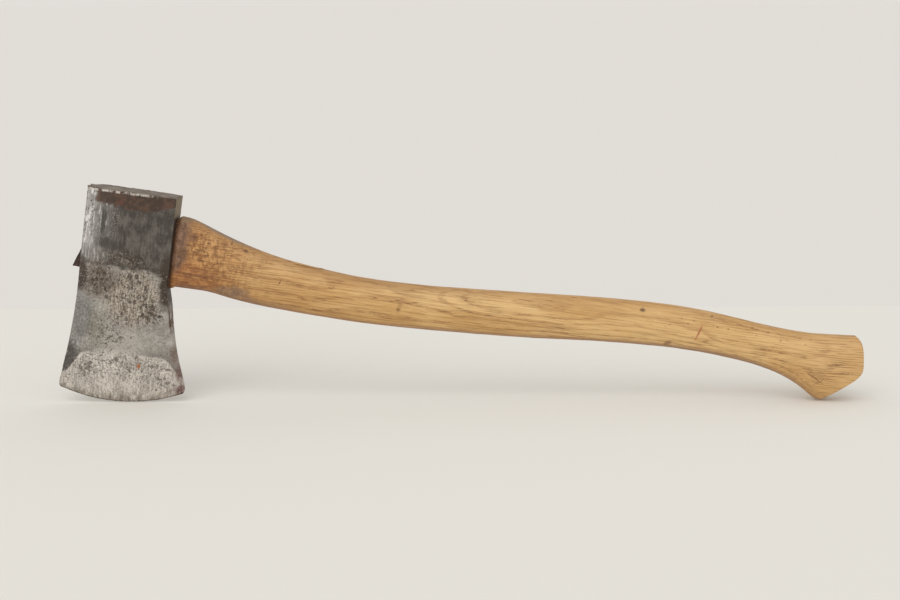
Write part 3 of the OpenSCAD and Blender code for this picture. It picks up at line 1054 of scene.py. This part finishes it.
    # Rust: under the poll's rim, down the heel, at the heel's corner, one orange spot
    rust = steel.coat(colour(70, 55, 45), colour(94, 70, 57), blots.ramp(0.42, 0.62))
    rust = steel.coat(rust, colour(60, 53, 47), fine.ramp(0.5, 0.62) * 0.5)
    sag = steel.patch(steel.place, 10, 36, 20, 12, 0.9) * 4 - x.ramp(22, 32) * 4
    rim = (z + mottle * 9 + blots * 6 + fine * 3 - 9 + sag).ramp(38, 41)
    rim = rim * (x + blots * 16 + mottle * 8 - 12).ramp(-38, -27)
    paint = steel.coat(paint, rust, rim * 0.95)
    paint = steel.coat(paint, colour(104, 68, 57), steel.patch(frayed, 31, 43, 3.5, 2.6) * 0.4)
    paint = steel.coat(paint, colour(108, 66, 54), steel.patch(frayed, -9, 42, 3.5, 2.4) * 0.45)
    line = (x + z * 0.12 - mottle * 4 + 2).ramp(36, 37.4) * z.ramp(-44, -52) * z.ramp(-74, -66)
    paint = steel.coat(paint, colour(96, 72, 56), line * blots.ramp(0.4, 0.5))
    heel_edge = steel.patches(frayed, (51, -92, 4, 9, 0.8), (57, -107, 3.5, 10, 0.9),
                              (61, -124, 7, 5, 1))
    heel_tone = steel.coat(colour(118, 90, 70), colour(112, 78, 71), z.ramp(-94, -104))
    heel_tone = steel.coat(heel_tone, colour(74, 46, 40), crumbs.ramp(0.48, 0.58) * 0.85)
    heel_tone = steel.coat(heel_tone, colour(176, 160, 148), crumbs.ramp(0.46, 0.38) * 0.8)
    paint = steel.coat(paint, heel_tone, heel_edge * fine.ramp(0.25, 0.45) * 0.9)
    paint = steel.coat(paint, colour(180, 114, 66),
                       steel.patch(frayed, 20.4, -105.7, 2.2, 3.1, 0.35, y=-15))

    # Narrow sides, poll and the rims: painted shade on the narrow side by the haft, painted
    # highlights along the poll's lip, dark specks along the cutting edge
    side_face = x.ramp(HEAD_RIGHT - 0.9, HEAD_RIGHT - 0.3)
    paint = steel.coat(paint, colour(136, 123, 102), side_face * z.ramp(31, 36) * 0.9)
    # Painted shade: the narrow side beside the haft is darkened between these heights
    paint = steel.coat(paint, colour(70, 58, 50), side_face * z.ramp(35, 31) * z.ramp(-36, -30) * 0.9)
    face = (z + fine * 0.5).ramp(POLL_RISE - 1.1, POLL_RISE - 0.5)
    worn_face = steel.coat(colour(102, 92, 83), colour(136, 125, 114), mottle.ramp(0.35, 0.65))
    worn_face = steel.coat(worn_face, colour(86, 74, 64), specks.ramp(0.54, 0.66) * 0.7)
    paint = steel.coat(paint, worn_face, face)
    # Painted highlights: broken bright light along the mushroomed lip of the poll
    lip_highlight = (z - POLL_RISE + 1.7 + blots * 2 - 1).size().ramp(1.4, 0.5)
    lip_highlight = lip_highlight * steel.noise(3, 3, 0.66, (1, 1, 0.3)).ramp(0.4, 0.54)
    paint = steel.coat(paint, colour(206, 197, 188), lip_highlight * (x + blots * 24 - 12).ramp(26, 6) * 0.85)
    paint = steel.coat(paint, colour(66, 56, 48),
                       above_edge.ramp(1.7, 0.5) * specks.ramp(0.34, 0.5) * 0.9)
    steel.give("Base Color", paint)

    rusty = rim.over(heel_edge).over(small).over(large).over(eaten)
    steel.give("Metallic", (0.75 - rusty * 0.6 - upper * 0.15).over(0.05))
    bright = bit.over(silver_and_sheen)
    steel.give("Roughness", 0.6 - bright * 0.16 + rusty * 0.2 + fine * 0.1)
    steel.emboss(fine * 0.12 + mottle * 0.2 + streaks * 0.08 + crumbs * 0.08
                 - small.over(large) * 0.2)
    return steel.material


# %% [markdown]
# ### Hickory
# Hickory is ring-porous: each year leaves a band of open pores that show as dark dashes
# along the grain. The rings are drawn as wide circles round a far pith, so they run as
# lines along the edges of the haft and open into arches where the surface cuts them flat.

# %% Marks of the front side
# Along the haft, up, half length, half height, angle, colour and strength
MARKS = [
    (463, 8.4, 2.3, 1.6, 0, (96, 68, 40), 0.9),
    (526.5, 11, 1.1, 0.9, 0, (120, 84, 56), 0.9),
    (516, -5, 0.9, 7, -16, (170, 100, 62), 0.85),
    (523, -12, 3.5, 1.0, 20, (150, 104, 62), 0.6),
    (490, -18.5, 3.6, 2.0, 30, (132, 94, 64), 0.7),
    (247, -17, 2.0, 7, -12, (146, 104, 64), 0.4),
    (246, -21, 1.8, 1.3, 0, (112, 76, 48), 0.6),
    (138, -11, 2.4, 0.5, 62, (88, 58, 38), 0.9),
    (104.5, 12.5, 2.6, 0.8, -16, (96, 62, 38), 0.9),
    (91.6, 17.8, 0.8, 1.6, 10, (104, 68, 40), 0.8),
    (113, -31, 7, 2.4, -14, (150, 114, 88), 0.6),
    (625, -31, 9, 0.6, -28, (128, 88, 54), 0.85),
    (630, -35, 5, 0.5, 34, (140, 98, 62), 0.7),
    (168, 6.9, 12, 0.5, -13, (84, 56, 40), 0.8),
    (152, 9.9, 17, 1.0, -13, (170, 108, 78), 0.6),
    # The thin dark line at the knob's end is painted shade along its rounded rim
    (HAFT_END - 2.6, 3, 0.7, 8, 28, (96, 78, 64), 0.85),
    (HAFT_END - 25.5, -17, 9, 0.6, 9, (132, 92, 56), 0.8),
    (HAFT_END - 19, -24, 11, 0.6, 7, (132, 92, 56), 0.8),
]
print("marks:", len(MARKS))


# %% Hickory of the haft
def hickory():
    wood = Finish("oiled_hickory")
    x, z = wood.x, wood.z
    torn = wood.ragged(8, 9)
    frayed = wood.ragged(2.5, 3)
    drift = wood.noise(110, 2, 0.5, (1, 1.5, 1.5))
    wobble = wood.noise(13, 3, 0.55, (0.12, 1, 1))
    pith = Field(wood, wood.add("ShaderNodeVectorMath",
                 {0: wood.scaled((0, 1, 0.9)), 1: (0, 34, -26)}, operation="DISTANCE").outputs[1])
    arches = wood.patch(wood.place, 352, -2, 60, 13, 0.9) * 5
    arches = arches + wood.patch(wood.place, 560, -8, 60, 12, 0.9) * 5
    rings = ((pith + drift * 9 + wobble * 2.6 + arches) * (1 / 3.1)).fraction()
    early = rings.ramp(0.0, 0.14) * rings.ramp(0.5, 0.2)
    pores = wood.noise(0.85, 2, 0.6, (0.075, 1, 1))
    long_pores = wood.noise(1.2, 2, 0.6, (0.03, 1, 1))
    fibres = wood.noise(0.8, 4, 0.7, (0.03, 1, 1))
    threads = wood.noise(1.8, 3, 0.66, (0.045, 1, 1))
    broad = wood.noise(30, 4, 0.55, (0.35, 1, 1))
    mottle = wood.noise(4.2, 4, 0.66, (1.1, 1, 0.6))
    stitches = wood.noise(1.8, 4, 0.68, (0.3, 1, 1))

    near = x.ramp(HEAD_RIGHT + 110, HEAD_RIGHT + 18)
    paint = wood.coat(colour(202, 158, 97), colour(222, 183, 124), broad.ramp(0.36, 0.64))
    paint = wood.coat(paint, colour(176, 130, 77), fibres.ramp(0.52, 0.72) * 0.6)
    paint = wood.coat(paint, colour(230, 194, 140), fibres.ramp(0.46, 0.3) * 0.45)
    clear = wood.patch(torn, 440, 0, 70, 16, 0.8)
    calm = 1 - clear.over(x.ramp(TOE_X - 60, TOE_X)) * 0.6
    paint = wood.coat(paint, colour(146, 98, 50), threads.ramp(0.52, 0.6) * (near * 0.3 + 0.4) * calm)
    paint = wood.coat(paint, colour(226, 186, 128), threads.ramp(0.44, 0.34) * 0.5)
    paint = wood.coat(paint, colour(168, 122, 72), early * 0.36)
    dashes = pores.ramp(0.56, 0.64) * (early * 0.9 + 0.12)
    dashes = dashes.over(long_pores.ramp(0.62, 0.7) * 0.7) * (1 - clear * 0.7)
    paint = wood.coat(paint, colour(118, 80, 46), dashes * 0.75)
    away, chance, grown = wood.cells(3.2, stretch=(0.6, 1, 1))
    dots = (away + grown * 0.12).ramp(0.32, 0.14) * chance.ramp(0.4, 0.5)
    paint = wood.coat(paint, colour(96, 62, 38), dots * wood.patch(torn, 565, 3, 85, 11, 0.6) * 0.8)

    # Near the head the wood is darker, mottled by handling and oil
    belly = x.ramp(HEAD_RIGHT + 240, HEAD_RIGHT + 60)
    paint = wood.coat(paint, colour(172, 116, 58), belly * 0.25)
    paint = wood.coat(paint, colour(172, 110, 50), near * 0.45)
    paint = wood.coat(paint, colour(122, 76, 36), mottle.ramp(0.46, 0.6) * near * 0.75)
    paint = wood.coat(paint, colour(216, 164, 100), mottle.ramp(0.46, 0.36) * near * 0.7)
    paint = wood.coat(paint, colour(88, 52, 26), stitches.ramp(0.53, 0.62) * near * 0.75)
    low = wood.patch(torn, 52, -18, 34, 14, 0.6)
    grimy = wood.noise(1.6, 4, 0.68, (0.1, 1, 1))
    paint = wood.coat(paint, colour(166, 104, 58), low * 0.5)
    paint = wood.coat(paint, colour(96, 60, 36), low * grimy.ramp(0.5, 0.62) * 0.75)
    paint = wood.coat(paint, colour(86, 56, 38), wood.patch(frayed, 57, 19, 3.2, 4, 0.6) * 0.6)

    # Painted shade along the underside, a top edge painted darker, and a painted reflection on it
    # Painted shade on the faces that look down
    under = wood.attribute("underside")
    pink = wood.coat(colour(164, 118, 88), colour(142, 104, 84), broad.ramp(0.4, 0.6))
    shaded = (under + broad * 0.3 - 0.15).ramp(0.45, 0.9)
    paint = wood.coat(paint, pink, shaded * 0.75)
    # Painted shade: the faces that look up are darkened, so the top is not lighter than the front
    # under the light from above
    top = wood.attribute("upside").ramp(0.25, 0.8) * (x.ramp(430, 240) * 0.4 + 0.35)
    paint = wood.coat(paint, colour(166, 124, 76), top)
    facet = wood.patch(torn, 96, -26, 15, 5.5, 0.4).over(wood.patch(torn, 104, -33, 42, 3, 0.6) * 0.6)
    worn = wood.coat(colour(150, 118, 91), colour(128, 102, 82), mottle.ramp(0.4, 0.6))
    paint = wood.coat(paint, worn, facet * 0.8)
    # Painted reflection: a grey line of reflected light along the top's edge near the head
    ridge_reflection = wood.attribute("upside").ramp(0.72, 0.95) * wood.patch(torn, 82, 24, 26, 16, 0.6)
    paint = wood.coat(paint, colour(120, 112, 104), ridge_reflection * 0.75)

    # A purple-brown collar where the wood has rubbed against the steel, and a painted shadow in the
    # gap at the head
    collar = (x + mottle * 14 - 7 + (z * -0.16).over(0) * 3).ramp(HEAD_RIGHT + 18, HEAD_RIGHT + 9)
    purple = wood.coat(colour(84, 56, 42), colour(134, 102, 82), mottle.ramp(0.42, 0.6))
    purple = wood.coat(purple, colour(70, 46, 34), stitches.ramp(0.54, 0.62) * 0.7)
    purple = wood.coat(purple, colour(156, 140, 130), fibres.ramp(0.55, 0.7) * 0.4)
    paint = wood.coat(paint, purple, collar * z.ramp(-22, -8) * 0.9)
    paint = wood.coat(paint, colour(132, 112, 82), wood.patch(torn, 48, 34, 9, 3, 0.6) * 0.7)
    # Painted shadow: a dark band in the gap where the haft meets the head
    paint = wood.coat(paint, colour(70, 46, 34), x.ramp(HEAD_RIGHT + 2.2, HEAD_RIGHT + 0.6) * 0.8)

    # Fine dark grain lines, closest on the face of the knob and on the belly
    knob = x.ramp(TOE_X - 60, TOE_X + 6)
    lines = ((z + wobble * 5 - knob * (x - TOE_X) * 0.09) * (1 / 2.1)).fraction()
    fine_line = lines.ramp(0.6, 0.8) * lines.ramp(1, 0.86)
    paint = wood.coat(paint, colour(205, 165, 112), knob * 0.45)
    paint = wood.coat(paint, colour(136, 94, 54),
                      knob.over(belly * 0.9).over(0.45) * fine_line * threads.ramp(0.4, 0.54) * 0.75)

    # Single marks of the front side
    for mx, mz, wide, high, angle, tone, share in MARKS:
        mark = wood.patch(frayed, mx, mz, wide, high, 0.5, y=-11, angle=angle)
        paint = wood.coat(paint, colour(*tone), mark * share)
    grain_end = wood.attribute("end_grain").ramp(0.35, 0.8) * x.ramp(TOE_X - 30, TOE_X)
    paint = wood.coat(paint, colour(178, 134, 86), grain_end * 0.7)
    # Painted shade on the rim of the knob's end, which turns away from the light
    rim_shade = grain_end * z.ramp(-14, 2)
    paint = wood.coat(paint, colour(112, 84, 60), rim_shade * 0.6)
    wood.give("Base Color", paint)
    wood.give("Roughness", 0.5 + fibres * 0.1 + dashes * 0.15 + near * 0.06)
    wood.emboss(fibres * 0.14 - dashes * 0.16 + wobble * 0.1 - mottle * near * 0.1)
    return wood.material


# %% Wedge finishes
def wedge_wood():
    wood = Finish("dry_wedge", Roughness=0.8)
    fibres = wood.noise(0.7, 3, 0.6, (0.05, 1, 1))
    paint = wood.coat(colour(132, 98, 66), colour(84, 60, 42), fibres.ramp(0.35, 0.7))
    wood.give("Base Color", paint)
    wood.emboss(fibres * 0.2)
    return wood.material


def wedge_rust():
    rust = Finish("rusted_wedge", Metallic=0.25)
    tone = rust.noise(2.5, 5, 0.6)
    paint = rust.coat(colour(66, 56, 52), colour(100, 72, 60), tone.ramp(0.42, 0.66))
    rust.give("Base Color", paint)
    rust.give("Roughness", 0.65 + tone * 0.25)
    rust.emboss(tone * 0.4)
    return rust.material


# %% [markdown]
# ## Dress and stand the pieces
# Three fields are remembered in the haft's mesh: how much a point looks down, where shade is
# painted along the underside, how much it looks up, where the top is painted darker and a painted
# reflection lies, and how much it looks along the haft, where end grain shows and the knob's rim gets
# painted shade.

# %% Stand everything up
def remember(piece, name, value_of):
    """Stores a number for each point, which a finish reads by that name."""
    layer = piece.data.attributes.new(name, "FLOAT", "POINT")
    layer.data.foreach_set("value", [value_of(point) for point in piece.data.vertices])


relief(haft, 60, 0.7)
relief(haft, 14, 0.3)
remember(haft, "underside", lambda point: max(0, -point.normal.z))
remember(haft, "upside", lambda point: max(0, point.normal.z))
remember(haft, "end_grain", lambda point: abs(point.normal.x))
for piece, slot, finish, node in (
    (head, "head_steel", head_steel, "axe_head"),
    (haft, "hickory", hickory, "haft"),
    (eye_wedge, "wedge_wood", wedge_wood, "eye_wedge"),
    (steel_wedge, "wedge_steel", wedge_rust, "steel_wedge"),
):
    piece.data.materials.clear()
    piece.data.materials.append(finish())
    stand_up(piece)
    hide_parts(node)

# %% [markdown]
# ## Floor, light and camera
# A pale floor, a pale room that lights from all round, and one broad soft lamp above and in
# front. The camera stands a little above the axe and looks down at it, 1.4 m away.

# %% Floor and room
FLOOR = (229, 226, 219)
ROOM = (226, 222, 217)
WALL_AT = 0.457
WALL_BLUR = 0.004
FLOOR_SIZE = 600
FLOOR_DROP = 0.0003
bpy.ops.object.select_all(action="DESELECT")
bpy.ops.mesh.primitive_plane_add(size=FLOOR_SIZE, location=(0, 0, -FLOOR_DROP))
floor = bpy.context.object
floor.name = "floor"
paper = Finish("pale_paper", Roughness=0.9, Specular_IOR_Level=0.1)
depth_back = Field(paper, paper.add("ShaderNodeSeparateXYZ", {
    0: paper.add("ShaderNodeTexCoord").outputs["Object"]}).outputs[1])
paper.give("Base Color", paper.coat(colour(*FLOOR), colour(*ROOM),
                                    depth_back.ramp(WALL_AT - WALL_BLUR, WALL_AT + WALL_BLUR)))
floor.data.materials.append(paper.material)

ROOM_LIGHT = 0.77
world = bpy.data.worlds.new("room")
bpy.context.scene.world = world
world.use_nodes = True
tree = world.node_tree
seen = tree.nodes["Background"]
seen.inputs["Color"].default_value = colour(*ROOM)
seen.inputs["Strength"].default_value = 1.0
lit = tree.nodes.new("ShaderNodeBackground")
lit.inputs["Color"].default_value = (1.0, 0.998, 0.99, 1.0)
lit.inputs["Strength"].default_value = ROOM_LIGHT
rays = tree.nodes.new("ShaderNodeLightPath")
either = [tree.nodes.new("ShaderNodeMath") for _ in range(2)]
for node in either:
    node.operation = "MAXIMUM"
tree.links.new(rays.outputs["Is Camera Ray"], either[0].inputs[0])
tree.links.new(rays.outputs["Is Glossy Ray"], either[0].inputs[1])
tree.links.new(either[0].outputs[0], either[1].inputs[0])
tree.links.new(rays.outputs["Is Transmission Ray"], either[1].inputs[1])
mixed = tree.nodes.new("ShaderNodeMixShader")
tree.links.new(either[1].outputs[0], mixed.inputs[0])
tree.links.new(lit.outputs[0], mixed.inputs[1])
tree.links.new(seen.outputs[0], mixed.inputs[2])
tree.links.new(mixed.outputs[0], tree.nodes["World Output"].inputs[0])
print("floor", FLOOR, "room", ROOM, "light of the room", ROOM_LIGHT)

# %% Soft light from above, left and front
SUN_SOFT = 55.0
SUN_POWER = 1.0
SUN_WAY = (0.25, 0.8, -0.8)
bpy.ops.object.light_add(type="SUN", location=(0, 0, 2))
sun = bpy.context.object
sun.name = "soft_lamp"
sun.data.energy = SUN_POWER
sun.data.angle = math.radians(SUN_SOFT)
sun.data.color = (1.0, 0.995, 0.98)
sun.rotation_euler = Vector(SUN_WAY).to_track_quat("-Z", "Y").to_euler()
print("lamp of", SUN_SOFT, "degrees, shining along", SUN_WAY)

# %% Camera
LENS = 64.0
CAMERA_PLACE = (-0.00746, -1.418, 0.35614)
CAMERA_DOWN = 10.5
CAMERA_ROLL = -0.23066
bpy.ops.object.camera_add(location=CAMERA_PLACE)
camera = bpy.context.object
camera.data.lens = LENS
camera.data.sensor_width = 36.0
camera.data.clip_start = 0.05
camera.matrix_world = (Matrix.Translation(CAMERA_PLACE)
                       @ Matrix.Rotation(math.radians(90 - CAMERA_DOWN), 4, "X")
                       @ Matrix.Rotation(math.radians(CAMERA_ROLL), 4, "Z"))
bpy.context.scene.camera = camera
bpy.context.scene.view_settings.view_transform = "Standard"
print("camera", round(-CAMERA_PLACE[1], 2), "m in front, looking down", CAMERA_DOWN, "degrees")
